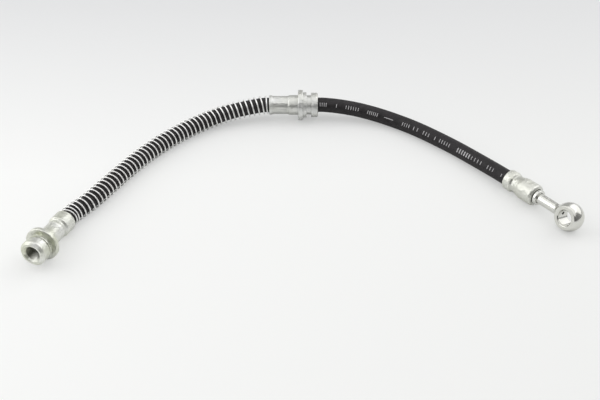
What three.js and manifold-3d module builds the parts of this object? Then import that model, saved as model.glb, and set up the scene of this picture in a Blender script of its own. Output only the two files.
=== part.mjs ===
// A car's brake hose: a flanged end with a female thread, rubber hose under a wire spring guard,
// a sleeve that holds the hose in a bracket, bare hose, and a banjo end with a round eye.
// Millimetres, +Z up. It lies on z = 0 in an arch, with its origin under the middle.

import * as THREE from 'three';
import { mergeVertices } from 'three/addons/utils/BufferGeometryUtils.js';
import Module from 'manifold-3d';

const UP = new THREE.Vector3(0, 0, 1);

// Clearances
const SEAT_GAP = 0.3; // between pieces that meet end to end or sit one in the other
const CRIMP_GAP = 0.3; // between the hose and what is crimped on it
const COIL_GAP = 0.45; // between the hose and the spring round it
const FLOOR_GAP = 0.1; // under the bare hose

// The lay in plan, from the middle of the female end's mouth to the middle of the banjo's eye.
// A place is given as shares of these two sizes from the origin, and a heading in degrees from +X.
const LAY_WIDTH = 231.4;
const LAY_DEPTH = 245.4;
const FEMALE_PLACE = [-0.4466, -0.5318];
const FEMALE_HEADING = 110.5;
const SLEEVE_PLACE = [-0.434, 0.346];
const SLEEVE_HEADING = 40.4;
const EYE_PLACE = [0.5534, 0.4682];
const BANJO_HEADING = 167;

// Hose
const HOSE_RADIUS = 5.25;
const HOSE_BORE_RADIUS = 1.6;
const HOSE_SEAT = HOSE_RADIUS + CRIMP_GAP; // inside radius of everything crimped on the hose
const HOSE_HEIGHT = HOSE_RADIUS + FLOOR_GAP; // its middle line where it lies bare on the floor

// Spring guard
const WIRE_RADIUS = 0.5;
const COIL_TURNS = 51;
const CLOSED_PITCH = 1.35; // the end turn on each side lies almost wire to wire
const COIL_RADIUS = HOSE_RADIUS + COIL_GAP + WIRE_RADIUS;
const COIL_OUTSIDE = COIL_RADIUS + WIRE_RADIUS;
const SAG = 0.25; // how much lower the hose still runs past its straight lead

// Crimped ferrules, whose walls are measured outwards from the hose
const FEMALE_FERRULE_LENGTH = 23.5;
const FEMALE_BARREL_WALL = 0.75; // the female end's barrel is swaged down its whole length
const FEMALE_CRIMP_WALL = 0.4;
const FEMALE_BARREL_ROUND = 0.7;
const BANJO_FERRULE_LENGTH = 25;
const BANJO_BARREL_WALL = 1.5;
const BANJO_CRIMP_WALL = 0.85;
const BANJO_BARREL_ROUND = 2.2;
const BELL_WALL = 1.4;
const BELL_LENGTH = 6.2;
const FERRULE_END_WALL = 2.5; // the closed end that grips the fitting's stub
const CRIMP_WIDTH = 2.2;
const BELL_FLARE = 0.8;
const BELL_LIP = 0.7; // roundness of the bell's rim
const BELL_RADIUS = HOSE_SEAT + BELL_WALL;

// Stubs and barbed nipples that hold the hose from inside
const STUB_RADIUS = 4.9;
const STUB_LENGTH = 3.4;
const NIPPLE_LENGTH = 16;
const NIPPLE_BARBS = 3;
const BARB_DEPTH = 0.2;
const PASSAGE_RADIUS = 0.75;
const NIPPLE_RADIUS = HOSE_BORE_RADIUS - SEAT_GAP;

// Female end, measured from its mouth
const THREAD_RADIUS = 4.6; // cored for an M10 x 1 thread
const THREAD_DEPTH = 9.5;
const MOUTH_CHAMFER = 1;
const SEAT_CONE_ANGLE = 31; // degrees that the pipe seat's cone rises from flat
const NOSE_RADIUS = 8.5;
const NOSE_CHAMFER = 0.8;
const NOSE_LENGTH = 7.2;
const FINE_GROOVE_WIDTH = 0.9;
const FINE_GROOVE_DEPTH = 0.9;
const RING_WIDTH = 1;
const CLIP_GROOVE_WIDTH = 2.1;
const CLIP_GROOVE_DEPTH = 1.2;
const FEMALE_FLANGE_STEP = 2.5; // how far the flange stands out from the nose
const FEMALE_FLANGE_WIDTH = 3.1;
const FLANGE_CHAMFER = 0.4;
const FEMALE_SHOULDER_RADIUS = 5.9;
const FEMALE_SHOULDER_WIDTH = 2.7;
const FEMALE_FLANGE_RADIUS = NOSE_RADIUS + FEMALE_FLANGE_STEP;

// Bracket sleeve, from the spring's side to the bare hose, with walls outwards from the hose
const LIP_WALL = 1.2;
const LIP_LENGTH = 2.6;
const SWAGE_WALL = 0.65;
const SWAGE_LENGTH = 11.4;
const BARREL_WALL = 1.25;
const BARREL_LENGTH = 7;
const FLANGE_WALL = 5.35;
const SLEEVE_FLANGE_WIDTH = 3.6;
const DISC_WALL = 3.1;
const DISC_WIDTH = 2.6;
const SLEEVE_GROOVE_WALL = 0.95;
const SLEEVE_GROOVE_WIDTH = 3.3;
const COLLAR_WALL = 3;
const COLLAR_LENGTH = 4.8;
const SLEEVE_ROUND = 0.8;
const SLEEVE_FLARE = 0.5;
const SLEEVE_FLANGE_RADIUS = HOSE_SEAT + FLANGE_WALL;

// Banjo end, measured from the middle of its eye
const EYE_RADIUS = 9.5;
const EYE_THICKNESS = 10.6;
const EYE_BORE_RADIUS = 5.1;
const EYE_CHAMFER = 0.55;
const EYE_TILT = 15; // degrees that the eye's axis looks up
const PORT_RADIUS = 1.1;
const NECK_RADIUS = 3.55;
const NECK_BORE_RADIUS = 1.5;
const NECK_LENGTH = 25; // to the stem's collar
const NECK_SOCKET = 4.6; // how far the neck reaches into the stem
const STEM_COLLAR_RADIUS = 5.2;
const STEM_COLLAR_WIDTH = 2.7;
const STEM_CHAMFER = 0.4;

// How finely round things are faceted
const TURN_SIDES = 28;
const HOSE_SIDES = 12;
const BORE_SIDES = 8;
const HOSE_STEPS = 56;
const WIRE_SIDES = 5;
const STEPS_PER_TURN = 12;
const CORNER_STEPS = 3;
const EYE_STEPS = 10;
const PORT_SIDES = 12;

// Distances along the female end
const FEMALE_RING = NOSE_LENGTH + FINE_GROOVE_WIDTH;
const FEMALE_CLIP_GROOVE = FEMALE_RING + RING_WIDTH;
const FEMALE_FLANGE = FEMALE_CLIP_GROOVE + CLIP_GROOVE_WIDTH;
const FEMALE_SHOULDER = FEMALE_FLANGE + FEMALE_FLANGE_WIDTH;
const FEMALE_STUB = FEMALE_SHOULDER + FEMALE_SHOULDER_WIDTH;
const FEMALE_FERRULE = FEMALE_STUB + SEAT_GAP;
const FEMALE_BELL = FEMALE_FERRULE + FEMALE_FERRULE_LENGTH;
const FEMALE_HOSE_END = FEMALE_STUB + STUB_LENGTH + SEAT_GAP;

// Distances along the banjo end
const STEM_STUB = NECK_LENGTH + STEM_COLLAR_WIDTH;
const BANJO_FERRULE = STEM_STUB + SEAT_GAP;
const BANJO_BELL = BANJO_FERRULE + BANJO_FERRULE_LENGTH;
const BANJO_HOSE_END = STEM_STUB + STUB_LENGTH + SEAT_GAP;

// Distances along the sleeve
const SLEEVE_FLANGE = LIP_LENGTH + SWAGE_LENGTH + BARREL_LENGTH;
const SLEEVE_DISC = SLEEVE_FLANGE + SLEEVE_FLANGE_WIDTH;
const SLEEVE_GROOVE = SLEEVE_DISC + DISC_WIDTH;
const SLEEVE_COLLAR = SLEEVE_GROOVE + SLEEVE_GROOVE_WIDTH;
const SLEEVE_LENGTH = SLEEVE_COLLAR + COLLAR_LENGTH;

// Where the rigid pieces lie: the female end leans from its flange down to where the spring
// touches the floor, and the banjo end from its eye down to its ferrule's bell
const LEAD = 7; // how far the hose stays straight outside a fitting
const SPRING_REST = FEMALE_BELL + LEAD;
const FEMALE_DROP = FEMALE_FLANGE_RADIUS - COIL_OUTSIDE - SAG;
const FEMALE_LEAN = Math.atan(FEMALE_DROP / (SPRING_REST - FEMALE_SHOULDER));
const FEMALE_HEIGHT = FEMALE_FLANGE_RADIUS * Math.cos(FEMALE_LEAN) + FEMALE_SHOULDER * Math.sin(FEMALE_LEAN);
const BANJO_LEAN = Math.asin((EYE_RADIUS - BELL_RADIUS) / BANJO_BELL);
const femaleAxis = leaningAxis(FEMALE_PLACE, FEMALE_HEIGHT, FEMALE_HEADING, FEMALE_LEAN);
const sleeveAxis = leaningAxis(SLEEVE_PLACE, SLEEVE_FLANGE_RADIUS, SLEEVE_HEADING, 0);
const banjoAxis = leaningAxis(EYE_PLACE, EYE_RADIUS, BANJO_HEADING, BANJO_LEAN);

// The hose's middle line: straight inside each fitting, with chosen points in between
const guardedLeg = stretch(femaleAxis.at(SPRING_REST), sleeveAxis.at(-LEAD / 2), [
	[0.097, 0.017, COIL_OUTSIDE],
	[0.216, 0.05, COIL_OUTSIDE],
	[0.34, 0.084, COIL_OUTSIDE],
	[0.462, 0.109, COIL_OUTSIDE],
	[0.576, 0.1215, COIL_OUTSIDE],
	[0.685, 0.122, COIL_OUTSIDE],
	[0.784, 0.108, between(COIL_OUTSIDE, SLEEVE_FLANGE_RADIUS, 0.12)],
	[0.872, 0.078, between(COIL_OUTSIDE, SLEEVE_FLANGE_RADIUS, 0.45)],
	[0.949, 0.033, between(COIL_OUTSIDE, SLEEVE_FLANGE_RADIUS, 0.85)],
]);
const bareLeg = stretch(sleeveAxis.at(SLEEVE_LENGTH + LEAD / 2), banjoAxis.at(BANJO_BELL + LEAD), [
	[0.063, 0.035, between(HOSE_HEIGHT, SLEEVE_FLANGE_RADIUS, 0.88)],
	[0.1555, 0.082, between(HOSE_HEIGHT, SLEEVE_FLANGE_RADIUS, 0.52)],
	[0.256, 0.1135, between(HOSE_HEIGHT, SLEEVE_FLANGE_RADIUS, 0.18)],
	[0.3655, 0.126, HOSE_HEIGHT],
	[0.4835, 0.12, HOSE_HEIGHT],
	[0.605, 0.103, HOSE_HEIGHT],
	[0.7265, 0.08, HOSE_HEIGHT],
	[0.85, 0.046, between(HOSE_HEIGHT, BELL_RADIUS, 0.3)],
]);
const route = new THREE.CatmullRomCurve3([
	femaleAxis.at(FEMALE_HOSE_END),
	femaleAxis.at((FEMALE_HOSE_END + FEMALE_BELL) / 2),
	femaleAxis.at(FEMALE_BELL),
	femaleAxis.at(SPRING_REST),
	...guardedLeg,
	sleeveAxis.at(-LEAD / 2),
	sleeveAxis.at(0),
	sleeveAxis.at(SLEEVE_LENGTH / 2),
	sleeveAxis.at(SLEEVE_LENGTH),
	sleeveAxis.at(SLEEVE_LENGTH + LEAD / 2),
	...bareLeg,
	banjoAxis.at(BANJO_BELL + LEAD),
	banjoAxis.at(BANJO_BELL),
	banjoAxis.at((BANJO_BELL + BANJO_HOSE_END) / 2),
	banjoAxis.at(BANJO_HOSE_END),
]);
const ROUTE_DIVISIONS = 1200;
route.arcLengthDivisions = ROUTE_DIVISIONS;

const wasm = await Module();
wasm.setup();

// Placing

// A straight axis in space: its start's place in the lay and height, its heading, and its lean down.
function leaningAxis([across, deep], height, heading, lean) {
	const start = new THREE.Vector3(across * LAY_WIDTH, deep * LAY_DEPTH, height);
	const turn = THREE.MathUtils.degToRad(heading);
	const along = new THREE.Vector3(
		Math.cos(turn) * Math.cos(lean),
		Math.sin(turn) * Math.cos(lean),
		-Math.sin(lean),
	);
	const at = (distance) => start.clone().addScaledVector(along, distance);
	return { start, along, at };
}

function between(low, high, share) {
	return low + (high - low) * share;
}

// The chosen points of a free stretch, each as [share of the way in plan, bow outwards, height],
// where the bow is a share of the straight distance too.
function stretch(from, to, chosen) {
	const way = new THREE.Vector3().subVectors(to, from);
	const outwards = new THREE.Vector3(-way.y, way.x, 0);
	return chosen.map(([share, bow, height]) => from.clone()
		.addScaledVector(way, share)
		.addScaledVector(outwards, bow)
		.setZ(height));
}

// A direction's level side and its own up, which make a frame with it.
function frameOf(along) {
	const side = new THREE.Vector3().crossVectors(along, UP).normalize();
	const up = new THREE.Vector3().crossVectors(side, along);
	return { side, up };
}

// A group whose local Y runs along an axis, with local Z up.
function groupAlong(axis, ...pieces) {
	const { side, up } = frameOf(axis.along);
	const group = new THREE.Group();
	group.quaternion.setFromRotationMatrix(new THREE.Matrix4().makeBasis(side, axis.along, up));
	group.position.copy(axis.start);
	group.add(...pieces);
	return group;
}

// Outlines of turned pieces, as [radius, distance] points

function roundCorner([radius, distance], size, fromAngle, toAngle) {
	return Array.from({ length: CORNER_STEPS + 1 }, (_, i) => {
		const angle = THREE.MathUtils.degToRad(between(fromAngle, toAngle, i / CORNER_STEPS));
		return [radius + size * Math.cos(angle), distance + size * Math.sin(angle)];
	});
}

// A shallow dip with soft sides, rolled into a wall.
function rolledDip(start, width, outside, bottom) {
	const steps = 2 * CORNER_STEPS;
	return Array.from({ length: steps + 1 }, (_, i) => {
		const share = i / steps;
		return [outside - (outside - bottom) * Math.sin(Math.PI * share), start + width * share];
	});
}

// The nipple's outside, from its root to its tip: a row of barbs that point away from the hose's end.
function barbs(root) {
	const pitch = NIPPLE_LENGTH / NIPPLE_BARBS;
	return Array.from({ length: NIPPLE_BARBS }, (_, i) => [
		[NIPPLE_RADIUS - BARB_DEPTH, root + pitch * i],
		[NIPPLE_RADIUS, root + pitch * i],
		[NIPPLE_RADIUS - BARB_DEPTH, root + pitch * (i + 1)],
	]).flat();
}

// Solids

function turned(outline, sides = TURN_SIDES) {
	const closed = [...outline, outline[0]];
	const profile = closed.map(([radius, distance]) => new THREE.Vector2(radius, distance));
	return new THREE.LatheGeometry(profile, sides);
}

function polygon(radius, sides) {
	return Array.from({ length: sides }, (_, i) => {
		const angle = (2 * Math.PI * i) / sides;
		return new THREE.Vector2(radius * Math.cos(angle), radius * Math.sin(angle));
	});
}

function toSolid(geometry) {
	const bare = geometry.index ? geometry.toNonIndexed() : geometry.clone();
	bare.deleteAttribute('normal');
	bare.deleteAttribute('uv');
	const merged = mergeVertices(bare, 1e-4);
	return new wasm.Manifold(new wasm.Mesh({
		numProp: 3,
		vertProperties: Float32Array.from(merged.attributes.position.array),
		triVerts: Uint32Array.from(merged.index.array),
	}));
}

function toGeometry(solid) {
	const mesh = solid.getMesh();
	const geometry = new THREE.BufferGeometry();
	geometry.setAttribute('position', new THREE.BufferAttribute(mesh.vertProperties, mesh.numProp));
	geometry.setIndex(new THREE.BufferAttribute(mesh.triVerts, 1));
	geometry.computeVertexNormals();
	return geometry;
}

function mesh(name, geometry, material) {
	const piece = new THREE.Mesh(geometry, material);
	piece.name = name;
	return piece;
}

// Materials
const zinc = () => new THREE.MeshStandardMaterial({ color: 0xc9ccc6, metalness: 1, roughness: 0.3 });
const brightZinc = () => new THREE.MeshStandardMaterial({ color: 0xdcded8, metalness: 1, roughness: 0.16 });
const springSteel = () => new THREE.MeshStandardMaterial({ color: 0xd3d4d0, metalness: 1, roughness: 0.28 });
const rubber = () => new THREE.MeshStandardMaterial({ color: 0x211f20, metalness: 0, roughness: 0.55 });

// Sub-parts

function femaleEndFitting() {
	const grooveRadius = NOSE_RADIUS - FINE_GROOVE_DEPTH;
	const clipRadius = NOSE_RADIUS - CLIP_GROOVE_DEPTH;
	const coneRise = (THREAD_RADIUS - PASSAGE_RADIUS) * Math.tan(THREE.MathUtils.degToRad(SEAT_CONE_ANGLE));
	const stubEnd = FEMALE_STUB + STUB_LENGTH;
	const body = turned([
		[THREAD_RADIUS + MOUTH_CHAMFER, 0],
		[NOSE_RADIUS - NOSE_CHAMFER, 0],
		[NOSE_RADIUS, NOSE_CHAMFER],
		[NOSE_RADIUS, NOSE_LENGTH],
		[grooveRadius, NOSE_LENGTH],
		[grooveRadius, FEMALE_RING],
		[NOSE_RADIUS, FEMALE_RING],
		[NOSE_RADIUS, FEMALE_CLIP_GROOVE],
		[clipRadius, FEMALE_CLIP_GROOVE],
		[clipRadius, FEMALE_FLANGE],
		[FEMALE_FLANGE_RADIUS - FLANGE_CHAMFER, FEMALE_FLANGE],
		[FEMALE_FLANGE_RADIUS, FEMALE_FLANGE + FLANGE_CHAMFER],
		[FEMALE_FLANGE_RADIUS, FEMALE_SHOULDER - FLANGE_CHAMFER],
		[FEMALE_FLANGE_RADIUS - FLANGE_CHAMFER, FEMALE_SHOULDER],
		[FEMALE_SHOULDER_RADIUS, FEMALE_SHOULDER],
		[FEMALE_SHOULDER_RADIUS, FEMALE_STUB],
		[STUB_RADIUS, FEMALE_STUB],
		[STUB_RADIUS, stubEnd],
		...barbs(stubEnd),
		[PASSAGE_RADIUS, stubEnd + NIPPLE_LENGTH],
		[PASSAGE_RADIUS, THREAD_DEPTH + coneRise],
		[THREAD_RADIUS, THREAD_DEPTH],
		[THREAD_RADIUS, MOUTH_CHAMFER],
	]);
	return mesh('female_end_fitting', body, zinc());
}

// A ferrule is a cup: its end wall closes round the fitting's stub and its bell opens round the hose.
function ferrule(name, start, rim, { barrelWall, crimpWall, round }) {
	const barrel = HOSE_SEAT + barrelWall;
	const dip = rim - BELL_LENGTH - CRIMP_WIDTH;
	const shell = turned([
		[STUB_RADIUS + SEAT_GAP, start],
		...roundCorner([barrel - round, start + round], round, -75, 0),
		...rolledDip(dip, CRIMP_WIDTH, barrel, HOSE_SEAT + crimpWall),
		...roundCorner([BELL_RADIUS - BELL_LIP, rim - BELL_LIP], BELL_LIP, 0, 90),
		[HOSE_SEAT + BELL_FLARE / 2, rim],
		[HOSE_SEAT, rim - BELL_FLARE],
		[HOSE_SEAT, start + FERRULE_END_WALL],
		[STUB_RADIUS + SEAT_GAP, start + FERRULE_END_WALL],
	]);
	return mesh(name, shell, zinc());
}

function bracketSleeve() {
	const lip = HOSE_SEAT + LIP_WALL;
	const swage = HOSE_SEAT + SWAGE_WALL;
	const barrel = HOSE_SEAT + BARREL_WALL;
	const disc = HOSE_SEAT + DISC_WALL;
	const groove = HOSE_SEAT + SLEEVE_GROOVE_WALL;
	const collar = HOSE_SEAT + COLLAR_WALL;
	const swageEnd = LIP_LENGTH + SWAGE_LENGTH;
	const body = turned([
		[HOSE_SEAT + SLEEVE_FLARE, 0],
		...roundCorner([lip - SLEEVE_FLARE, SLEEVE_FLARE], SLEEVE_FLARE, -90, 0),
		[lip, LIP_LENGTH - SLEEVE_ROUND],
		[swage, LIP_LENGTH],
		[swage, swageEnd],
		[barrel, swageEnd + SLEEVE_FLARE],
		[barrel, SLEEVE_FLANGE],
		[SLEEVE_FLANGE_RADIUS - FLANGE_CHAMFER, SLEEVE_FLANGE],
		[SLEEVE_FLANGE_RADIUS, SLEEVE_FLANGE + FLANGE_CHAMFER],
		[SLEEVE_FLANGE_RADIUS, SLEEVE_DISC - FLANGE_CHAMFER],
		[SLEEVE_FLANGE_RADIUS - FLANGE_CHAMFER, SLEEVE_DISC],
		[disc, SLEEVE_DISC],
		[disc, SLEEVE_GROOVE],
		[groove, SLEEVE_GROOVE],
		[groove, SLEEVE_COLLAR],
		[collar, SLEEVE_COLLAR],
		...roundCorner([collar - SLEEVE_ROUND, SLEEVE_LENGTH - SLEEVE_ROUND], SLEEVE_ROUND, 0, 90),
		[HOSE_SEAT + SLEEVE_FLARE, SLEEVE_LENGTH],
		[HOSE_SEAT, SLEEVE_LENGTH - SLEEVE_FLARE],
		[HOSE_SEAT, SLEEVE_FLARE],
	]);
	return mesh('bracket_sleeve', body, zinc());
}

// The eye is a ball cut to two flats and bored through; its neck runs along local Y.
function banjoEye() {
	const half = EYE_THICKNESS / 2;
	const flatAngle = THREE.MathUtils.radToDeg(Math.asin(half / EYE_RADIUS));
	const ball = Array.from({ length: EYE_STEPS + 1 }, (_, i) => {
		const angle = THREE.MathUtils.degToRad(between(-flatAngle, flatAngle, i / EYE_STEPS));
		return [EYE_RADIUS * Math.cos(angle), EYE_RADIUS * Math.sin(angle)];
	});
	const eye = turned([
		[EYE_BORE_RADIUS + EYE_CHAMFER, -half],
		...ball,
		[EYE_BORE_RADIUS + EYE_CHAMFER, half],
		[EYE_BORE_RADIUS, half - EYE_CHAMFER],
		[EYE_BORE_RADIUS, -half + EYE_CHAMFER],
	]);
	eye.rotateZ(Math.PI / 2);
	eye.rotateY(THREE.MathUtils.degToRad(EYE_TILT));
	const wallMiddle = (EYE_BORE_RADIUS + EYE_RADIUS) / 2;
	const neck = turned([
		[NECK_BORE_RADIUS, wallMiddle],
		[NECK_RADIUS, wallMiddle],
		[NECK_RADIUS, NECK_LENGTH + NECK_SOCKET],
		[NECK_BORE_RADIUS, NECK_LENGTH + NECK_SOCKET],
	]);
	const port = new THREE.CylinderGeometry(PORT_RADIUS, PORT_RADIUS, NECK_LENGTH / 2, PORT_SIDES);
	port.translate(0, NECK_LENGTH / 4, 0);
	const solid = toSolid(eye).add(toSolid(neck)).subtract(toSolid(port));
	return mesh('banjo_eye', toGeometry(solid), brightZinc());
}

// The stem takes the neck in its socket, shows as a collar, and holds the hose with its nipple.
function banjoStem() {
	const socket = NECK_RADIUS + SEAT_GAP;
	const socketEnd = NECK_LENGTH + NECK_SOCKET + SEAT_GAP;
	const stubEnd = STEM_STUB + STUB_LENGTH;
	const stem = turned([
		[socket, NECK_LENGTH],
		[STEM_COLLAR_RADIUS - STEM_CHAMFER, NECK_LENGTH],
		[STEM_COLLAR_RADIUS, NECK_LENGTH + STEM_CHAMFER],
		[STEM_COLLAR_RADIUS, STEM_STUB - STEM_CHAMFER],
		[STUB_RADIUS, STEM_STUB],
		[STUB_RADIUS, stubEnd],
		...barbs(stubEnd),
		[PASSAGE_RADIUS, stubEnd + NIPPLE_LENGTH],
		[PASSAGE_RADIUS, socketEnd],
		[socket, socketEnd],
	]);
	return mesh('banjo_stem', stem, brightZinc());
}

function hose() {
	const section = new THREE.Shape(polygon(HOSE_RADIUS, HOSE_SIDES));
	section.holes.push(new THREE.Path(polygon(HOSE_BORE_RADIUS, BORE_SIDES)));
	const tube = new THREE.ExtrudeGeometry(section, {
		steps: HOSE_STEPS,
		extrudePath: route,
		bevelEnabled: false,
	});
	return mesh('hose', tube, rubber());
}

// The helix that the guard's wire follows round the hose, with one closed turn at each end.
class GuardHelix extends THREE.Curve {
	constructor(start, end) {
		super();
		this.start = start;
		this.openPitch = (end - start - 2 * CLOSED_PITCH) / (COIL_TURNS - 2);
		this.length = end - start;
		this.arcLengthDivisions = COIL_TURNS * STEPS_PER_TURN * 2;
	}

	advance(turns) {
		if (turns < 1) return CLOSED_PITCH * turns;
		if (turns > COIL_TURNS - 1) return this.length - CLOSED_PITCH * (COIL_TURNS - turns);
		return CLOSED_PITCH + this.openPitch * (turns - 1);
	}

	getPoint(t, target = new THREE.Vector3()) {
		const turns = t * COIL_TURNS;
		const share = (this.start + this.advance(turns)) / route.getLength();
		const { side, up } = frameOf(route.getTangentAt(share));
		const angle = 2 * Math.PI * turns;
		return target.copy(route.getPointAt(share))
			.addScaledVector(up, COIL_RADIUS * Math.cos(angle))
			.addScaledVector(side, COIL_RADIUS * Math.sin(angle));
	}
}

function springGuard() {
	const end = WIRE_RADIUS + SEAT_GAP;
	const start = FEMALE_BELL - FEMALE_HOSE_END + end;
	const finish = distanceAlongRoute(sleeveAxis.start) - end;
	const wire = new THREE.Shape(polygon(WIRE_RADIUS, WIRE_SIDES));
	const coil = new THREE.ExtrudeGeometry(wire, {
		steps: COIL_TURNS * STEPS_PER_TURN,
		extrudePath: new GuardHelix(start, finish),
		bevelEnabled: false,
	});
	return mesh('spring_guard', coil, springSteel());
}

// How far along the hose a point on its middle line lies.
function distanceAlongRoute(point) {
	const lengths = route.getLengths();
	const places = route.getPoints(ROUTE_DIVISIONS);
	const gaps = places.map((place) => place.distanceTo(point));
	return lengths[gaps.indexOf(Math.min(...gaps))];
}

const femaleCrimp = {
	barrelWall: FEMALE_BARREL_WALL,
	crimpWall: FEMALE_CRIMP_WALL,
	round: FEMALE_BARREL_ROUND,
};
const banjoCrimp = {
	barrelWall: BANJO_BARREL_WALL,
	crimpWall: BANJO_CRIMP_WALL,
	round: BANJO_BARREL_ROUND,
};

const brakeHose = new THREE.Group();
brakeHose.name = 'brake_hose';
brakeHose.add(
	groupAlong(
		femaleAxis,
		femaleEndFitting(),
		ferrule('female_ferrule', FEMALE_FERRULE, FEMALE_BELL, femaleCrimp),
	),
	hose(),
	springGuard(),
	groupAlong(sleeveAxis, bracketSleeve()),
	groupAlong(
		banjoAxis,
		banjoEye(),
		banjoStem(),
		ferrule('banjo_ferrule', BANJO_FERRULE, BANJO_BELL, banjoCrimp),
	),
);

export default brakeHose;
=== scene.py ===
import math

import bpy
import numpy as np
from mathutils import Matrix, Vector


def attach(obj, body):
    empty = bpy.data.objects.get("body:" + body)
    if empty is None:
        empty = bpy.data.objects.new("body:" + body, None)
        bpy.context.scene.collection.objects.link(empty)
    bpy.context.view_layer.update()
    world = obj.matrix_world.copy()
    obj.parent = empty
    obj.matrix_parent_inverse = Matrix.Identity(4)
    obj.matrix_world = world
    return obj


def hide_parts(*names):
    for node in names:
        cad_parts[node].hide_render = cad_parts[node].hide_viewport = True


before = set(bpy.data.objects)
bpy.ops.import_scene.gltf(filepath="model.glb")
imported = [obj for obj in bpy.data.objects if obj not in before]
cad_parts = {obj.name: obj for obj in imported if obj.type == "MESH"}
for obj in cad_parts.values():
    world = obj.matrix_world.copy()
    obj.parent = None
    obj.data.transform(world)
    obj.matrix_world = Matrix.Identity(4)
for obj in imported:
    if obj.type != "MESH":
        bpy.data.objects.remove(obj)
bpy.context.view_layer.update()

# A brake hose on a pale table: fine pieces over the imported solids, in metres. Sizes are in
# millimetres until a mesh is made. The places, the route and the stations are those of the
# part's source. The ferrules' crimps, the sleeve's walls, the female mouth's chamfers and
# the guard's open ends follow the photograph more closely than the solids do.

MM = 0.001
UP = np.array([0.0, 0.0, 1.0])

# The lay in plan, with each fitting's place as shares of it
LAY_WIDTH, LAY_DEPTH = 231.4, 245.4
FEMALE_PLACE, FEMALE_HEADING = (-0.4466, -0.5318), 110.5
SLEEVE_PLACE, SLEEVE_HEADING = (-0.434, 0.346), 40.4
EYE_PLACE, BANJO_HEADING = (0.5534, 0.4682), 167.0

# Sizes of the hose and what is on it
SEAT_GAP = 0.3
HOSE_RADIUS = 5.25
HOSE_SEAT = 5.55  # inside radius of everything crimped on the hose
HOSE_HEIGHT = HOSE_RADIUS + 0.1
WIRE_RADIUS = 0.5
COIL_TURNS = 51
END_TURN = 1.35  # the solid closes the guard's first and last turn over this length
COIL_RADIUS = 6.2
COIL_OUTSIDE = COIL_RADIUS + WIRE_RADIUS
SAG = 0.25  # how much lower the hose still runs past its straight lead
LEAD = 7.0  # how far the hose stays straight outside a fitting
BELL_RADIUS = 6.95
WAIST_RADIUS = 6.0
RIM_ROUND = 0.9
OUTER_WALL = HOSE_SEAT + 0.1  # the jaws dent only what lies beyond this radius
STUB_RADIUS = 4.9
STUB_LENGTH = 3.4
NIPPLE_LENGTH = 16.0
NIPPLE_RADIUS = 1.3
PASSAGE_RADIUS = 0.75

# The ferrules' crimps: the barrel's wall and the round of its end, the lengths of its taper,
# the waist, the step up and the bell, and the bell's radius at the rim
FEMALE_CRIMP = {
    "wall": 0.9, "round": 0.7, "taper": 2, "waist": 0.8, "step": 1.4, "bell": 8.6, "rim": 7.2,
}
BANJO_CRIMP = {
    "wall": 1.7, "round": 1.8, "taper": 6.5, "waist": 1.2, "step": 1.4, "bell": 5.7, "rim": 6.95,
}

# Stations along the female end, the sleeve and the banjo end
THREAD_RADIUS, MOUTH_CHAMFER = 4.6, 1.2
THREAD_END, DRILL_END = 9.5, 11.8
NOSE_RADIUS, NOSE_CHAMFER, NOSE_END = 8.5, 1.5, 7.2
RING_GROOVE_RADIUS, CLIP_GROOVE_RADIUS, SHOULDER_RADIUS = 7.6, 7.3, 5.9
FEMALE_FLANGE_RADIUS, FLANGE_CHAMFER = 11.0, 0.4
FEMALE_RING, FEMALE_CLIP_GROOVE, FEMALE_FLANGE = 8.1, 9.1, 11.2
FEMALE_SHOULDER, FEMALE_STUB, FEMALE_FERRULE, FEMALE_BELL = 14.3, 17.0, 17.3, 40.8
FEMALE_HOSE_END = FEMALE_STUB + STUB_LENGTH + SEAT_GAP
SLEEVE_FLANGE_RADIUS = 10.9
SLEEVE_SWAGE, SLEEVE_BARREL, SLEEVE_FLANGE = 2.6, 14.0, 21.0
SLEEVE_DISC, SLEEVE_GROOVE, SLEEVE_COLLAR, SLEEVE_LENGTH = 24.6, 27.2, 30.5, 35.3
EYE_RADIUS, EYE_THICKNESS, EYE_BORE_RADIUS, EYE_TILT = 9.5, 10.6, 5.1, 15.0
NECK_RADIUS, NECK_LENGTH, NECK_TAIL = 3.55, 25.0, 4.6
NECK_PASSAGE_RADIUS, PORT_RADIUS = 1.5, 1.1
STEM_STUB, BANJO_FERRULE, BANJO_BELL = 27.7, 28.0, 53.0
BANJO_HOSE_END = STEM_STUB + STUB_LENGTH + SEAT_GAP


class Axis:
    """A straight axis in space: its start's place in the lay and height, heading and lean down."""

    def __init__(self, place, height, heading, lean):
        turn = math.radians(heading)
        self.start = np.array([place[0] * LAY_WIDTH, place[1] * LAY_DEPTH, height])
        self.along = np.array([
            math.cos(turn) * math.cos(lean),
            math.sin(turn) * math.cos(lean),
            -math.sin(lean),
        ])

    def at(self, distance):
        return self.start + distance * self.along

    def matrix(self):
        """Local Z along the axis and local X upwards, in metres."""
        side, up = frame_of(self.along)
        columns = np.column_stack([up, side, self.along, self.start * MM])
        return Matrix([*columns.tolist(), [0, 0, 0, 1]])


def frame_of(ahead):
    """The level side and the upward normal of a direction."""
    side = np.cross(ahead, UP)
    side /= np.linalg.norm(side)
    return side, np.cross(side, ahead)


FEMALE_LEAN = math.atan(
    (FEMALE_FLANGE_RADIUS - COIL_OUTSIDE - SAG) / (FEMALE_BELL + LEAD - FEMALE_SHOULDER)
)
FEMALE_HEIGHT = (
    FEMALE_FLANGE_RADIUS * math.cos(FEMALE_LEAN) + FEMALE_SHOULDER * math.sin(FEMALE_LEAN)
)
BANJO_LEAN = math.asin((EYE_RADIUS - BELL_RADIUS) / BANJO_BELL)
female = Axis(FEMALE_PLACE, FEMALE_HEIGHT, FEMALE_HEADING, FEMALE_LEAN)
sleeve = Axis(SLEEVE_PLACE, SLEEVE_FLANGE_RADIUS, SLEEVE_HEADING, 0)
banjo = Axis(EYE_PLACE, EYE_RADIUS, BANJO_HEADING, BANJO_LEAN)

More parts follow.
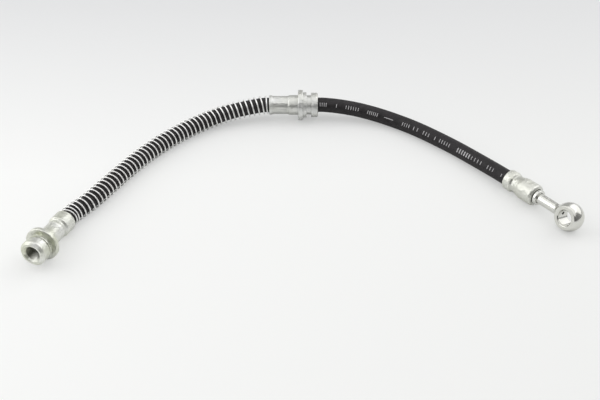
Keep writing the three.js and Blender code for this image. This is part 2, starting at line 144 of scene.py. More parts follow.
# The camera stands where the photographer's stood, turned from the part's own axes
PHOTO_TURN = 40.0
PHOTO_TILT = 50.5
camera = bpy.data.objects.new("camera", bpy.data.cameras.new("camera"))
bpy.context.scene.collection.objects.link(camera)
camera.location = (0.3254, -0.3877, 0.4453)
camera.rotation_euler = (math.radians(PHOTO_TILT), 0, math.radians(PHOTO_TURN))
camera.data.lens = 63.18
camera.data.sensor_width = 36
camera.data.clip_start = 0.01
bpy.context.scene.camera = camera


# Curves and meshes

def mix(low, high, share):
    return low + (high - low) * share


def stretch(start, end, chosen):
    """The chosen points of a free stretch: share of the way in plan, bow outwards, height."""
    way = end - start
    outwards = np.array([-way[1], way[0], 0])
    places = [start + way * share + outwards * bow for share, bow, _ in chosen]
    return [(x, y, height) for (x, y, _), (_, _, height) in zip(places, chosen)]


def smooth_curve(points, per_span):
    """The centripetal Catmull-Rom curve through the points."""
    points = np.array(points, float)
    ends = [2 * points[0] - points[1]], [2 * points[-1] - points[-2]]
    points = np.vstack([ends[0], points, ends[1]])
    t = np.linspace(0, 1, per_span, endpoint=False)[:, None]
    out = []
    for a, b, c, d in zip(points, points[1:], points[2:], points[3:]):
        ab, bc, cd = (math.sqrt(np.linalg.norm(q - p)) for p, q in ((a, b), (b, c), (c, d)))
        leave = ((b - a) / ab - (c - a) / (ab + bc) + (c - b) / bc) * bc
        reach = ((c - b) / bc - (d - b) / (bc + cd) + (d - c) / cd) * bc
        out.append(
            b + leave * t + (3 * (c - b) - 2 * leave - reach) * t**2
            + (2 * (b - c) + leave + reach) * t**3
        )
    out.append(points[-2][None])
    return np.vstack(out)


class Line:
    """A curve that can be asked for a point and a direction at a distance along it."""

    def __init__(self, points):
        self.points = points
        steps = np.linalg.norm(np.diff(points, axis=0), axis=1)
        self.distances = np.concatenate([[0], np.cumsum(steps)])
        self.length = self.distances[-1]

    def at(self, distance):
        distance = np.asarray(distance, float)
        return np.stack(
            [np.interp(distance, self.distances, self.points[:, k]) for k in range(3)], axis=-1
        )

    def frames(self, distance):
        """The level side and the upward normal at each distance."""
        reach = 0.4
        ahead = self.at(distance + reach) - self.at(distance - reach)
        ahead /= np.linalg.norm(ahead, axis=-1, keepdims=True)
        side = np.cross(ahead, UP)
        side /= np.linalg.norm(side, axis=-1, keepdims=True)
        return side, np.cross(side, ahead)

    def nearest(self, point):
        return self.distances[np.argmin(np.linalg.norm(self.points - point, axis=1))]


def add_mesh(name, vertices, faces, material, sharp=None, axis=None):
    mesh = bpy.data.meshes.new(name)
    mesh.from_pydata((np.asarray(vertices) * MM).tolist(), [], faces)
    mesh.validate()
    if axis:
        mesh.transform(axis.matrix())
    mesh.materials.append(material)
    mesh.polygons.foreach_set("use_smooth", [True] * len(mesh.polygons))
    if sharp:
        mesh.set_sharp_from_angle(angle=math.radians(sharp))
    piece = bpy.data.objects.new(name, mesh)
    bpy.context.scene.collection.objects.link(piece)
    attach(piece, "root")
    return piece


def grid_faces(rows, columns, first=0, close_rows=False):
    """Quads over rings of vertices, each ring closed on itself."""
    count = rows if close_rows else rows - 1
    faces = []
    for r in range(count):
        here, there = first + r * columns, first + (r + 1) % rows * columns
        for c in range(columns):
            d = (c + 1) % columns
            faces.append((here + c, here + d, there + d, there + c))
    return faces


def tube(centres, sides, ups, radius, corners):
    """A closed round tube through centres, as vertices and faces."""
    angles = np.linspace(0, 2 * np.pi, corners, endpoint=False)
    ring = radius * (
        np.cos(angles)[None, :, None] * ups[:, None]
        - np.sin(angles)[None, :, None] * sides[:, None]
    )
    vertices = (centres[:, None] + ring).reshape(-1, 3)
    faces = grid_faces(len(centres), corners)
    last = (len(centres) - 1) * corners
    faces.append(tuple(range(corners))[::-1])
    faces.append(tuple(last + c for c in range(corners)))
    return vertices, faces


def soften(outline, size, steps=3):
    """Round an outline's corners slightly, with a support point on both sides of each."""
    straight, roomy, support = -0.95, 5, 1.8
    outline = [np.array(p, float) for p in outline]
    out = []
    for i, p in enumerate(outline):
        before, after = outline[i - 1] - p, outline[(i + 1) % len(outline)] - p
        lengths = np.linalg.norm(before), np.linalg.norm(after)
        bend = np.dot(before, after) / (lengths[0] * lengths[1])
        if bend < straight:
            out.append(p)
            continue
        cut = min(size, 0.4 * lengths[0], 0.4 * lengths[1])
        enter, leave = p + before / lengths[0] * cut, p + after / lengths[1] * cut
        if lengths[0] > roomy * cut:
            out.append(p + before / lengths[0] * cut * support)
        for t in np.linspace(0, 1, steps + 1):
            out.append((1 - t) ** 2 * enter + 2 * t * (1 - t) * p + t**2 * leave)
        if lengths[1] > roomy * cut:
            out.append(p + after / lengths[1] * cut * support)
    return out


def turned(name, axis, outline, material, segments=96, press=None, size=0.22):
    """A turned piece from its outline of (radius, distance) points, dented by press."""
    outline = np.array(soften(outline, size))
    angles = np.linspace(0, 2 * np.pi, segments, endpoint=False)
    radius = np.repeat(outline[:, :1], segments, axis=1)
    distance = np.repeat(outline[:, 1:], segments, axis=1)
    if press:
        radius = press(radius, distance, angles[None, :])
    vertices = np.stack([radius * np.cos(angles), radius * np.sin(angles), distance], axis=-1)
    faces = grid_faces(len(outline), segments, close_rows=True)
    return add_mesh(name, vertices.reshape(-1, 3), faces, material, sharp=42, axis=axis)


def round_corner(centre, size, start, end, steps=6):
    """Points on an arc round a centre, between two angles in degrees."""
    angles = np.radians(np.linspace(start, end, steps + 1))
    return [(centre[0] + size * math.cos(a), centre[1] + size * math.sin(a)) for a in angles]


# Materials

def new_material(name):
    material = bpy.data.materials.new(name)
    material.use_nodes = True
    tree = material.node_tree
    tree.nodes.clear()
    shader = tree.nodes.new("ShaderNodeBsdfPrincipled")
    output = tree.nodes.new("ShaderNodeOutputMaterial")
    tree.links.new(shader.outputs["BSDF"], output.inputs["Surface"])
    return material, tree, shader


def place_in_object(tree, axis=None, scale=(1, 1, 1)):
    """Object coordinates, or those of an axis with Z along it, then scaled."""
    vector = tree.nodes.new("ShaderNodeTexCoord").outputs["Object"]
    if axis:
        local = tree.nodes.new("ShaderNodeMapping")
        local.vector_type = "TEXTURE"
        local.inputs["Location"].default_value = axis.start * MM
        local.inputs["Rotation"].default_value = axis.matrix().to_euler()
        tree.links.new(vector, local.inputs["Vector"])
        vector = local.outputs["Vector"]
    mapping = tree.nodes.new("ShaderNodeMapping")
    mapping.inputs["Scale"].default_value = scale
    tree.links.new(vector, mapping.inputs["Vector"])
    return mapping.outputs["Vector"]


def noise(tree, vector, scale, detail=3.0, roughness=0.55):
    node = tree.nodes.new("ShaderNodeTexNoise")
    node.inputs["Scale"].default_value = scale
    node.inputs["Detail"].default_value = detail
    node.inputs["Roughness"].default_value = roughness
    tree.links.new(vector, node.inputs["Vector"])
    return node.outputs["Fac"]


def between(tree, value, low, high, low_from=0.35, high_from=0.65):
    """A value mapped to a range, by default from where most of a noise lies."""
    node = tree.nodes.new("ShaderNodeMapRange")
    node.inputs["From Min"].default_value = low_from
    node.inputs["From Max"].default_value = high_from
    node.inputs["To Min"].default_value = low
    node.inputs["To Max"].default_value = high
    tree.links.new(value, node.inputs["Value"])
    return node.outputs["Result"]


def blend_colours(tree, value, first, second, span=(0.35, 0.65)):
    node = tree.nodes.new("ShaderNodeMix")
    node.data_type = "RGBA"
    node.inputs["A"].default_value = (*first, 1)
    node.inputs["B"].default_value = (*second, 1)
    tree.links.new(between(tree, value, 0, 1, *span), node.inputs["Factor"])
    return node.outputs["Result"]


def along(tree, vector, direction, start, end):
    """From 0 to 1 between two distances in a direction."""
    dot = tree.nodes.new("ShaderNodeVectorMath")
    dot.operation = "DOT_PRODUCT"
    dot.inputs[1].default_value = direction
    tree.links.new(vector, dot.inputs[0])
    return between(tree, dot.outputs["Value"], 0, 1, start, end)


def bump(tree, shader, heights, strength, distance):
    """Bump from one or more height outputs, added together."""
    total = heights[0]
    for height in heights[1:]:
        add = tree.nodes.new("ShaderNodeMath")
        tree.links.new(total, add.inputs[0])
        tree.links.new(height, add.inputs[1])
        total = add.outputs["Value"]
    node = tree.nodes.new("ShaderNodeBump")
    node.inputs["Strength"].default_value = strength
    node.inputs["Distance"].default_value = distance
    tree.links.new(total, node.inputs["Height"])
    tree.links.new(node.outputs["Normal"], shader.inputs["Normal"])


def plated(name, axis, pale, tinted, smooth, rough, relief):
    """Plated steel: a faint tint in patches, grain, rings from the lathe, marks of handling."""
    material, tree, shader = new_material(name)
    vector = place_in_object(tree, axis)
    rings = place_in_object(tree, axis, (1, 1, 60))
    shader.inputs["Metallic"].default_value = 1.0
    tree.links.new(
        blend_colours(tree, noise(tree, vector, 60, 2), pale, tinted), shader.inputs["Base Color"]
    )
    tree.links.new(
        between(tree, noise(tree, vector, 150, 3), smooth, rough), shader.inputs["Roughness"]
    )
    grain = noise(tree, vector, 2200, 2)
    turning = noise(tree, rings, 60, 1)
    handling = between(tree, noise(tree, vector, 420, 2), 0, 9)
    bump(tree, shader, [grain, turning, handling], relief, 0.00005)
    return material


def black_rubber():
    material, tree, shader = new_material("black_rubber")
    vector = place_in_object(tree)
    dark, worn = (0.0105, 0.0092, 0.01), (0.021, 0.018, 0.0195)
    tree.links.new(
        blend_colours(tree, noise(tree, vector, 300, 4), dark, worn), shader.inputs["Base Color"]
    )
    tree.links.new(
        between(tree, noise(tree, vector, 900, 3), 0.45, 0.62), shader.inputs["Roughness"]
    )
    shader.inputs["Specular IOR Level"].default_value = 0.35
    bump(tree, shader, [noise(tree, vector, 1400, 3), noise(tree, vector, 350, 2)], 0.35, 0.00012)
    return material


def print_ink():
    material, tree, shader = new_material("print_ink")
    vector = place_in_object(tree)
    faint, full = (0.33, 0.32, 0.33), (0.62, 0.61, 0.62)
    tree.links.new(
        blend_colours(tree, noise(tree, vector, 1800, 2), faint, full), shader.inputs["Base Color"]
    )
    shader.inputs["Roughness"].default_value = 0.6
    return material


def bare_steel():
    """The unplated bore, with painted shade that darkens its upper left side and painted light that
    brightens its lower right side.
    """
    material, tree, shader = new_material("bore_steel")
    vector = place_in_object(tree, female)
    shader.inputs["Metallic"].default_value = 1.0
    shader.inputs["Roughness"].default_value = 0.4
    # The two colours are painted shade and painted light, blended across the bore in one direction.
    painted_shade, painted_light = (0.17, 0.17, 0.14), (0.85, 0.85, 0.8)
    lit_share = along(tree, vector, (-0.7, 0.7, 0), 0, 0.0045)
    tree.links.new(
        blend_colours(tree, lit_share, painted_shade, painted_light, (0, 1)), shader.inputs["Base Color"]
    )
    bump(tree, shader, [noise(tree, vector, 1500, 2)], 0.3, 0.0001)
    return material


def satin_zinc(name, axis, pale, tinted):
    return plated(name, axis, pale, tinted, 0.34, 0.47, 0.4)


# The same plating on all three fittings. The female end's copy is paler, painted light for the
# brighter light on that end.
female_zinc_painted_light = satin_zinc("female_zinc_painted_light", female, (0.76, 0.765, 0.735), (0.66, 0.675, 0.565))
sleeve_zinc = satin_zinc("sleeve_zinc", sleeve, (0.70, 0.705, 0.69), (0.66, 0.665, 0.62))
banjo_zinc = satin_zinc("banjo_zinc", banjo, (0.72, 0.725, 0.69), (0.67, 0.675, 0.605))
bright_zinc = plated(
    "bright_zinc", banjo, (0.71, 0.71, 0.68), (0.67, 0.67, 0.62), 0.15, 0.22, 0.08
)
spring_wire = plated(
    "spring_wire", None, (0.96, 0.96, 0.95), (0.92, 0.92, 0.9), 0.4, 0.5, 0.1
)
bore_steel = bare_steel()
rubber = black_rubber()
ink = print_ink()

# The hose, first of all the pieces, along the same chosen points as in the part's source
GUARDED_LEG = stretch(female.at(FEMALE_BELL + LEAD), sleeve.at(-LEAD / 2), [
    (0.097, 0.017, COIL_OUTSIDE),
    (0.216, 0.05, COIL_OUTSIDE),
    (0.34, 0.084, COIL_OUTSIDE),
    (0.462, 0.109, COIL_OUTSIDE),
    (0.576, 0.1215, COIL_OUTSIDE),
    (0.685, 0.122, COIL_OUTSIDE),
    (0.784, 0.108, mix(COIL_OUTSIDE, SLEEVE_FLANGE_RADIUS, 0.12)),
    (0.872, 0.078, mix(COIL_OUTSIDE, SLEEVE_FLANGE_RADIUS, 0.45)),
    (0.949, 0.033, mix(COIL_OUTSIDE, SLEEVE_FLANGE_RADIUS, 0.85)),
])
BARE_LEG = stretch(sleeve.at(SLEEVE_LENGTH + LEAD / 2), banjo.at(BANJO_BELL + LEAD), [
    (0.063, 0.035, mix(HOSE_HEIGHT, SLEEVE_FLANGE_RADIUS, 0.88)),
    (0.1555, 0.082, mix(HOSE_HEIGHT, SLEEVE_FLANGE_RADIUS, 0.52)),
    (0.256, 0.1135, mix(HOSE_HEIGHT, SLEEVE_FLANGE_RADIUS, 0.18)),
    (0.3655, 0.126, HOSE_HEIGHT),
    (0.4835, 0.12, HOSE_HEIGHT),
    (0.605, 0.103, HOSE_HEIGHT),
    (0.7265, 0.08, HOSE_HEIGHT),
    (0.85, 0.046, mix(HOSE_HEIGHT, BELL_RADIUS, 0.3)),
])
ROUTE = [
    female.at(FEMALE_HOSE_END),
    female.at((FEMALE_HOSE_END + FEMALE_BELL) / 2),
    female.at(FEMALE_BELL),
    female.at(FEMALE_BELL + LEAD),
    *GUARDED_LEG,
    sleeve.at(-LEAD / 2),
    sleeve.at(0),
    sleeve.at(SLEEVE_LENGTH / 2),
    sleeve.at(SLEEVE_LENGTH),
    sleeve.at(SLEEVE_LENGTH + LEAD / 2),
    *BARE_LEG,
    banjo.at(BANJO_BELL + LEAD),
    banjo.at(BANJO_BELL),
    banjo.at((BANJO_BELL + BANJO_HOSE_END) / 2),
    banjo.at(BANJO_HOSE_END),
]
route = Line(smooth_curve(ROUTE, 60))


def hose_cover():
    distances = np.linspace(0, route.length, 420)
    sides, ups = route.frames(distances)
    vertices, faces = tube(route.at(distances), sides, ups, HOSE_RADIUS, 40)
    piece = add_mesh("hose_cover", vertices, faces, rubber, sharp=50)
    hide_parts("hose")


hose_cover()


def spring_guard():
    """The wire helix round the hose, at one pitch from the ferrule to the sleeve.

    The solid closes its first and last turn over the length END_TURN, and the turns between
    them have the same places here.
    """
    rings_per_turn = 40
    end = WIRE_RADIUS + SEAT_GAP
    start = FEMALE_BELL - FEMALE_HOSE_END + end
    length = route.nearest(sleeve.start) - end - start
    pitch = (length - 2 * END_TURN) / (COIL_TURNS - 2)
    extra = END_TURN / pitch
    turns = np.linspace(1 - extra, COIL_TURNS - 1 + extra, COIL_TURNS * rings_per_turn + 1)
    distances = start + END_TURN + pitch * (turns - 1)
    sides, ups = route.frames(distances)
    angle = 2 * np.pi * turns[:, None]
    outward = ups * np.cos(angle) + sides * np.sin(angle)
    centres = route.at(distances) + COIL_RADIUS * outward
    ahead = np.gradient(centres, axis=0)
    ahead /= np.linalg.norm(ahead, axis=1, keepdims=True)
    vertices, faces = tube(centres, np.cross(ahead, outward), outward, WIRE_RADIUS, 12)
    piece = add_mesh("guard_wire", vertices, faces, spring_wire, sharp=50)
    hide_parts("spring_guard")


spring_guard()


# Fittings

def jaws(count, width):
    """How strongly each angle is pressed by a crimping tool with that many jaws."""
    return lambda angle: 1 - np.clip(np.cos(count * angle), 0, 1) ** width


def window(distance, start, end, soft):
    """1 between start and end, with a soft rise and fall inside them, and 0 outside."""
    rise = np.clip((distance - start) / soft, 0, 1)
    fall = np.clip((end - distance) / soft, 0, 1)
    return rise * rise * (3 - 2 * rise) * fall * fall * (3 - 2 * fall)


def female_fitting():
    """Nose, ring groove, clip groove, flange, shoulder, stub and nipple, and the stepped bore."""
    flange_edge = FEMALE_FLANGE_RADIUS - FLANGE_CHAMFER
    nipple = FEMALE_STUB + STUB_LENGTH
    outline = [
        (THREAD_RADIUS + MOUTH_CHAMFER, 0), (NOSE_RADIUS - NOSE_CHAMFER, 0),
        (NOSE_RADIUS, NOSE_CHAMFER), (NOSE_RADIUS, NOSE_END), (RING_GROOVE_RADIUS, NOSE_END),
        (RING_GROOVE_RADIUS, FEMALE_RING), (NOSE_RADIUS, FEMALE_RING),
        (NOSE_RADIUS, FEMALE_CLIP_GROOVE), (CLIP_GROOVE_RADIUS, FEMALE_CLIP_GROOVE),
        (CLIP_GROOVE_RADIUS, FEMALE_FLANGE), (flange_edge, FEMALE_FLANGE),
        (FEMALE_FLANGE_RADIUS, FEMALE_FLANGE + FLANGE_CHAMFER),
        (FEMALE_FLANGE_RADIUS, FEMALE_SHOULDER - FLANGE_CHAMFER), (flange_edge, FEMALE_SHOULDER),
        (SHOULDER_RADIUS, FEMALE_SHOULDER), (SHOULDER_RADIUS, FEMALE_STUB),
        (STUB_RADIUS, FEMALE_STUB), (STUB_RADIUS, nipple), (NIPPLE_RADIUS, nipple),
        (NIPPLE_RADIUS, nipple + NIPPLE_LENGTH), (PASSAGE_RADIUS, nipple + NIPPLE_LENGTH),
        (PASSAGE_RADIUS, DRILL_END), (THREAD_RADIUS, THREAD_END), (THREAD_RADIUS, MOUTH_CHAMFER),
    ]
    body = turned("female_end", female, outline, female_zinc_painted_light, 112)
    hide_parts("female_end_fitting")


def bore_thread():
    """The thread for the pipe's nut: a ridge wound inside the bore, fading at both ends."""
    pitch, crest, root = 1.0, 4.2, THREAD_RADIUS + 0.04
    first, count, fade_length = 1.35, 7.6, 0.4
    foot, flat = 0.5, 0.06
    turns = np.linspace(0, count, 7 * 48)
    fade = np.clip(np.minimum(turns, count - turns) / fade_length, 0.05, 1)
    angle = 2 * np.pi * turns
    rows = []
    for radius, offset in ((root, -foot), (crest, -flat), (crest, flat), (root, foot)):
        r = root + (radius - root) * fade
        distance = first + pitch * turns + offset
        rows.append(np.stack([r * np.cos(angle), r * np.sin(angle), distance], axis=-1))
    vertices = np.stack(rows, axis=1).reshape(-1, 3)
    faces = grid_faces(len(turns), 4)
    last = len(vertices) - 4
    faces += [(3, 2, 1, 0), (last, last + 1, last + 2, last + 3)]
    add_mesh("bore_thread", vertices, faces, bore_steel, sharp=30, axis=female)


def soft_slope(start, length, first, last, steps=10):
    """Outline points that pass from one radius to another along half a wave."""
    shares = np.linspace(0, 1, steps + 1)
    return [(mix(first, last, (1 - math.cos(math.pi * t)) / 2), start + length * t) for t in shares]


def ferrule(name, node, axis, material, start, rim, crimp, press):
    """A barrel that tapers to a pressed waist and steps up to the bell at the rim."""
    inside, end_wall = STUB_RADIUS + SEAT_GAP, start + 2.5
    barrel, bell = HOSE_SEAT + crimp["wall"], crimp["rim"]
    shoulder, bell_start = crimp["round"], rim - crimp["bell"]
    waist_end = bell_start - crimp["step"]
    taper_start = waist_end - crimp["waist"] - crimp["taper"]
    outline = [
        (inside, start),
        *round_corner((barrel - shoulder, start + shoulder), shoulder, -75, 0),
        *[(barrel, d) for d in np.linspace(start + shoulder + 1, taper_start - 0.5, 8)],
        *soft_slope(taper_start, crimp["taper"], barrel, WAIST_RADIUS),
        *soft_slope(waist_end, crimp["step"], WAIST_RADIUS, bell),
        *[(bell, d) for d in np.linspace(bell_start + 0.5, rim - 1.5, 5)],
        *round_corner((bell - RIM_ROUND, rim - RIM_ROUND), RIM_ROUND, 0, 90),
        (HOSE_SEAT + 0.3, rim), (HOSE_SEAT, rim - 0.5),
        (HOSE_SEAT, end_wall), (inside, end_wall),
    ]
    piece = turned(name, axis, outline, material, 128, press, size=0.12)
    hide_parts(node)


def female_press(radius, distance, angle):
    """Eight long jaw marks along the swaged barrel, and a shallow ring before the waist."""
    mark_depth, ring_depth = 0.22, 0.12
    marks = window(distance, 18.5, 28.5, 1.2) * jaws(8, 6)(angle) * mark_depth
    ring = window(distance, 25.0, 28.4, 1.5) * ring_depth
    return radius - (radius > OUTER_WALL) * (marks + ring)


def banjo_press(radius, distance, angle):
    """Ten dents round the waist, which bite into the bell's shoulder."""
    depth = 0.3
    dents = jaws(10, 3)(angle) * window(distance, BANJO_BELL - 9.4, BANJO_BELL - 4.4, 1.8)
    return radius - (radius > OUTER_WALL) * dents * depth


def bracket_sleeve():
    """Lip, swaged length with eight jaw marks, barrel, flange, disc, groove and collar."""
    lip, swage, barrel = HOSE_SEAT + 1.5, HOSE_SEAT + 1.1, HOSE_SEAT + 1.6
    disc, groove, collar = HOSE_SEAT + 3.6, HOSE_SEAT + 1.5, HOSE_SEAT + 3.25
    flange_edge = SLEEVE_FLANGE_RADIUS - FLANGE_CHAMFER
    mark_depth = 0.16
    outline = [
        (HOSE_SEAT + 0.5, 0),
        *round_corner((lip - 0.5, 0.5), 0.5, -90, 0),
        (lip, SLEEVE_SWAGE - 0.8), (swage, SLEEVE_SWAGE),
        *[(swage, d) for d in np.linspace(SLEEVE_SWAGE + 1, SLEEVE_BARREL - 1, 10)],
        (swage, SLEEVE_BARREL), (barrel, SLEEVE_BARREL + 0.5), (barrel, SLEEVE_FLANGE),
        (flange_edge, SLEEVE_FLANGE), (SLEEVE_FLANGE_RADIUS, SLEEVE_FLANGE + FLANGE_CHAMFER),
        (SLEEVE_FLANGE_RADIUS, SLEEVE_DISC - FLANGE_CHAMFER), (flange_edge, SLEEVE_DISC),
        (disc, SLEEVE_DISC), (disc, SLEEVE_GROOVE), (groove, SLEEVE_GROOVE),
        (groove, SLEEVE_COLLAR), (collar, SLEEVE_COLLAR),
        *round_corner((collar - RIM_ROUND, SLEEVE_LENGTH - RIM_ROUND), RIM_ROUND, 0, 90),
        (HOSE_SEAT + 0.5, SLEEVE_LENGTH), (HOSE_SEAT, SLEEVE_LENGTH - 0.5), (HOSE_SEAT, 0.5),
    ]

    def press(radius, distance, angle):
        pressed = window(distance, SLEEVE_SWAGE + 0.4, SLEEVE_BARREL - 0.2, 0.9)
        return radius - (radius > OUTER_WALL) * pressed * jaws(8, 6)(angle) * mark_depth

    piece = turned("sleeve_body", sleeve, outline, sleeve_zinc, 128, press)
    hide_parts("bracket_sleeve")


def banjo_eye():
    """A ball cut to two flats and bored, joined to its neck, with the fluid port between them."""
    half, chamfer = EYE_THICKNESS / 2, 0.55
    flat = math.degrees(math.asin(half / EYE_RADIUS))
    outline = [
        (EYE_BORE_RADIUS + chamfer, -half),
        *round_corner((0, 0), EYE_RADIUS, -flat, flat, 28),
        (EYE_BORE_RADIUS + chamfer, half),
        (EYE_BORE_RADIUS, half - chamfer),
        (EYE_BORE_RADIUS, -half + chamfer),
    ]
    eye = turned("eye_body", banjo, outline, bright_zinc, 128)
    tilt = Matrix.Rotation(math.radians(EYE_TILT), 4, "Z")
    across = tilt @ Matrix.Rotation(math.radians(90), 4, "X")
    eye.data.transform(banjo.matrix() @ across @ banjo.matrix().inverted())
    wall, tail = (EYE_BORE_RADIUS + EYE_RADIUS) / 2, NECK_LENGTH + NECK_TAIL
    fillet = [(5.0, wall), (4.95, 8.0), (4.5, 8.6), (4.1, 9.2), (3.8, 9.9), (3.62, 10.7)]
    neck = turned(
        "eye_neck", banjo,
        [
            *fillet, (NECK_RADIUS, 11.6), (NECK_RADIUS, tail),
            (NECK_PASSAGE_RADIUS, tail), (NECK_PASSAGE_RADIUS, wall),
        ],
        bright_zinc, 96,
    )
    port_start, port_end, port_core = 0.5, 9, 0.02
    port = turned(
        "eye_port", banjo,
        [
            (PORT_RADIUS, port_start), (PORT_RADIUS, port_end),
            (port_core, port_end), (port_core, port_start),
        ],
        bright_zinc, 32, size=0.01,
    )
    for operation, other in (("UNION", neck), ("DIFFERENCE", port)):
        cut = eye.modifiers.new(operation, "BOOLEAN")
        cut.operation = operation
        cut.solver = "EXACT"
        cut.object = other
        bpy.context.view_layer.update()
        evaluated = eye.evaluated_get(bpy.context.evaluated_depsgraph_get())
        shape = bpy.data.meshes.new_from_object(evaluated)
        eye.modifiers.clear()
        eye.data = shape
        bpy.data.objects.remove(other)
    eye.data.polygons.foreach_set("use_smooth", [True] * len(eye.data.polygons))
    eye.data.set_sharp_from_angle(angle=math.radians(42))
    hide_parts("banjo_eye")


def banjo_stem():
    """The collar that the neck sits in, the stub behind it and the nipple inside the hose."""
    socket, socket_end = NECK_RADIUS + 0.1, NECK_LENGTH + NECK_TAIL + SEAT_GAP
    collar, chamfer = 5.2, 0.4
    nipple = STEM_STUB + STUB_LENGTH
    outline = [
        (socket, NECK_LENGTH), (collar - chamfer, NECK_LENGTH), (collar, NECK_LENGTH + chamfer),
        (collar, STEM_STUB - chamfer), (STUB_RADIUS, STEM_STUB), (STUB_RADIUS, nipple),
        (NIPPLE_RADIUS, nipple), (NIPPLE_RADIUS, nipple + NIPPLE_LENGTH),
        (PASSAGE_RADIUS, nipple + NIPPLE_LENGTH), (PASSAGE_RADIUS, socket_end),
        (socket, socket_end),
    ]
    piece = turned("stem_body", banjo, outline, bright_zinc, 96)
    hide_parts("banjo_stem")


female_fitting()
bore_thread()
ferrule(
    "female_crimp", "female_ferrule", female, female_zinc_painted_light,
    FEMALE_FERRULE, FEMALE_BELL, FEMALE_CRIMP, female_press,
)
bracket_sleeve()
banjo_eye()
banjo_stem()
ferrule(
    "banjo_crimp", "banjo_ferrule", banjo, banjo_zinc,
    BANJO_FERRULE, BANJO_BELL, BANJO_CRIMP, banjo_press,
)


# Plain ticks and dashes where a hose carries its print

def print_marks():
    """Thin raised patches on the hose, sunk a little into it, on the side that is seen."""
    first = route.nearest(sleeve.at(SLEEVE_LENGTH))
    thin, bold = 0.5, 0.9
    # Each group: its distance from the sleeve, its marks, their pitch, width and height
    groups = [
        (1.4, 4, 1.5, thin, 2.8), (13.3, 1, 3, thin, 2.6), (20.2, 6, 1.9, thin, 2.6),
        (37.2, 6, 1.55, thin, 2.6), (66.5, 4, 1.8, thin, 2.6), (76, 2, 3.2, thin, 2.6),
        (84.5, 3, 2.3, thin, 2.6), (94.6, 1, 3, thin, 2.6), (98.8, 5, 2.1, thin, 2.6),
        (114.8, 6, 2.1, bold, 3.2), (128, 4, 2.7, thin, 2.6), (142.3, 3, 2.4, thin, 2.6),
        (155, 1, 3, thin, 2),
    ]
    marks = [
        (first + at + pitch * i, width, tall)
        for at, count, pitch, width, tall in groups
        for i in range(count)
    ]
    dash = (first + 51, 7.5, 0.5)
    marks.append(dash)
    from_top = 0.95
    raised, sunk = 0.035, -0.1
    vertices, faces = [], []
    for at, width, tall in marks:
        columns, rows = max(2, round(width / 0.5)), 5
        distances = np.linspace(at, at + width, columns)
        sides, ups = route.frames(distances)
        centres = route.at(distances)
        first_vertex = len(vertices)
        for lift in (raised, sunk):
            for c in range(columns):
                for turn in np.linspace(-0.5, 0.5, rows) * tall / HOSE_RADIUS + from_top:
                    outward = ups[c] * math.cos(turn) + sides[c] * math.sin(turn)
                    vertices.append(centres[c] + (HOSE_RADIUS + lift) * outward)
        layer = columns * rows
        for c in range(columns - 1):
            for r in range(rows - 1):
                a = first_vertex + c * rows + r
                b, d, e = a + 1, a + rows, a + rows + 1
                faces.append((a, d, e, b))
                faces.append((a + layer, b + layer, e + layer, d + layer))
        rim = [c * rows for c in range(columns)]
        rim += [(columns - 1) * rows + r for r in range(1, rows)]
        rim += [c * rows + rows - 1 for c in range(columns - 2, -1, -1)]
        rim += [r for r in range(rows - 2, 0, -1)]
        for here, there in zip(rim, rim[1:] + rim[:1]):
            a, b = first_vertex + here, first_vertex + there
            faces.append((a, a + layer, b + layer, b))
    add_mesh("print_marks", vertices, faces, ink, sharp=40)


print_marks()


# Table and light

def lighten_shadow(tree, shader, colour, share):
    """Show the camera that share of the paper as plain colour, which thins its shadows."""
    plain = tree.nodes.new("ShaderNodeEmission")
    tree.links.new(colour, plain.inputs["Color"])
    seen = tree.nodes.new("ShaderNodeMath")
    seen.operation = "MULTIPLY"
    seen.inputs[1].default_value = share
    tree.links.new(tree.nodes.new("ShaderNodeLightPath").outputs["Is Camera Ray"], seen.inputs[0])
    mixer = tree.nodes.new("ShaderNodeMixShader")
    tree.links.new(seen.outputs["Value"], mixer.inputs["Fac"])
    tree.links.new(shader.outputs["BSDF"], mixer.inputs[1])
    tree.links.new(plain.outputs["Emission"], mixer.inputs[2])
    tree.links.new(mixer.outputs["Shader"], tree.nodes["Material Output"].inputs["Surface"])


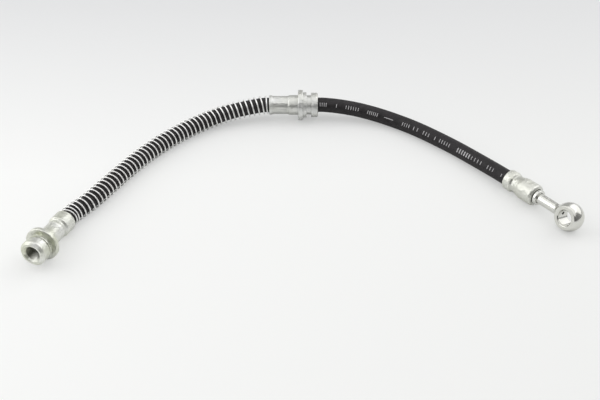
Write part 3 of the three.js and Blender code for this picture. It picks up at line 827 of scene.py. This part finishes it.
def table_top():
    """Pale paper, with painted shade that darkens it a little to the right and away from the
    viewer.
    """
    reach = 3.0
    mesh = bpy.data.meshes.new("table_top")
    corners = [(-reach, -reach, 0), (reach, -reach, 0), (reach, reach, 0), (-reach, reach, 0)]
    mesh.from_pydata(corners, [], [(0, 1, 2, 3)])
    floor = bpy.data.objects.new("table_top", mesh)
    bpy.context.scene.collection.objects.link(floor)
    material, tree, shader = new_material("table_paper")
    vector = place_in_object(tree)
    turn = math.radians(PHOTO_TURN)
    across = along(tree, vector, (math.cos(turn), math.sin(turn), 0), -0.2, 0.3)
    away = along(tree, vector, (-math.sin(turn), math.cos(turn), 0), 0.06, 0.3)
    # The right and far colours are painted shade: darker where less light reaches the paper.
    left, right, far_shade = (0.93, 0.935, 0.925), (0.86, 0.865, 0.855), (0.75, 0.755, 0.76, 1)
    near = blend_colours(tree, across, left, right, (0, 1))
    mixer = tree.nodes.new("ShaderNodeMix")
    mixer.data_type = "RGBA"
    mixer.inputs["B"].default_value = far_shade
    tree.links.new(near, mixer.inputs["A"])
    tree.links.new(away, mixer.inputs["Factor"])
    tree.links.new(mixer.outputs["Result"], shader.inputs["Base Color"])
    shader.inputs["Roughness"].default_value = 1.0
    shader.inputs["Specular IOR Level"].default_value = 0.0
    lighten_shadow(tree, shader, mixer.outputs["Result"], 0.45)
    mesh.materials.append(material)


def softbox(name, direction, distance, width, height, power):
    """An area lamp in a direction of the photograph's frame: right, away, up."""
    middle = Vector((-0.03, 0.04, 0))
    turn = math.radians(PHOTO_TURN)
    right, away, up = direction
    aim = Vector((
        right * math.cos(turn) - away * math.sin(turn),
        right * math.sin(turn) + away * math.cos(turn),
        up,
    )).normalized()
    lamp = bpy.data.lights.new(name, "AREA")
    lamp.shape = "RECTANGLE"
    lamp.size, lamp.size_y = width, height
    lamp.energy = power
    lamp_object = bpy.data.objects.new(name, lamp)
    lamp_object.location = middle + aim * distance
    lamp_object.rotation_euler = aim.to_track_quat("Z", "Y").to_euler()
    bpy.context.scene.collection.objects.link(lamp_object)


def room():
    """A grey studio, darker on the side that the photographer stands on."""
    bright, dim = 0.5, 0.15
    world = bpy.data.worlds.new("studio")
    world.use_nodes = True
    tree = world.node_tree
    tree.nodes.clear()
    turn = math.radians(PHOTO_TURN)
    towards_viewer = (math.sin(turn), -math.cos(turn), 0)
    vector = tree.nodes.new("ShaderNodeTexCoord").outputs["Generated"]
    facing = along(tree, vector, towards_viewer, -0.8, 0.85)
    background = tree.nodes.new("ShaderNodeBackground")
    output = tree.nodes.new("ShaderNodeOutputWorld")
    background.inputs["Color"].default_value = (1, 1, 1, 1)
    tree.links.new(between(tree, facing, bright, dim, 0, 1), background.inputs["Strength"])
    tree.links.new(background.outputs["Background"], output.inputs["Surface"])
    bpy.context.scene.world = world


table_top()
softbox("softbox_right", (0.71, 0.41, 0.57), 1.2, 1.4, 1.1, 4.8)
softbox("softbox_left", (-0.87, 0.15, 0.47), 1.2, 1.4, 1.0, 6.6)
softbox("softbox_top", (0, -0.1, 1), 1.3, 2.4, 2.4, 14)
room()
bpy.context.scene.view_settings.view_transform = "Standard"
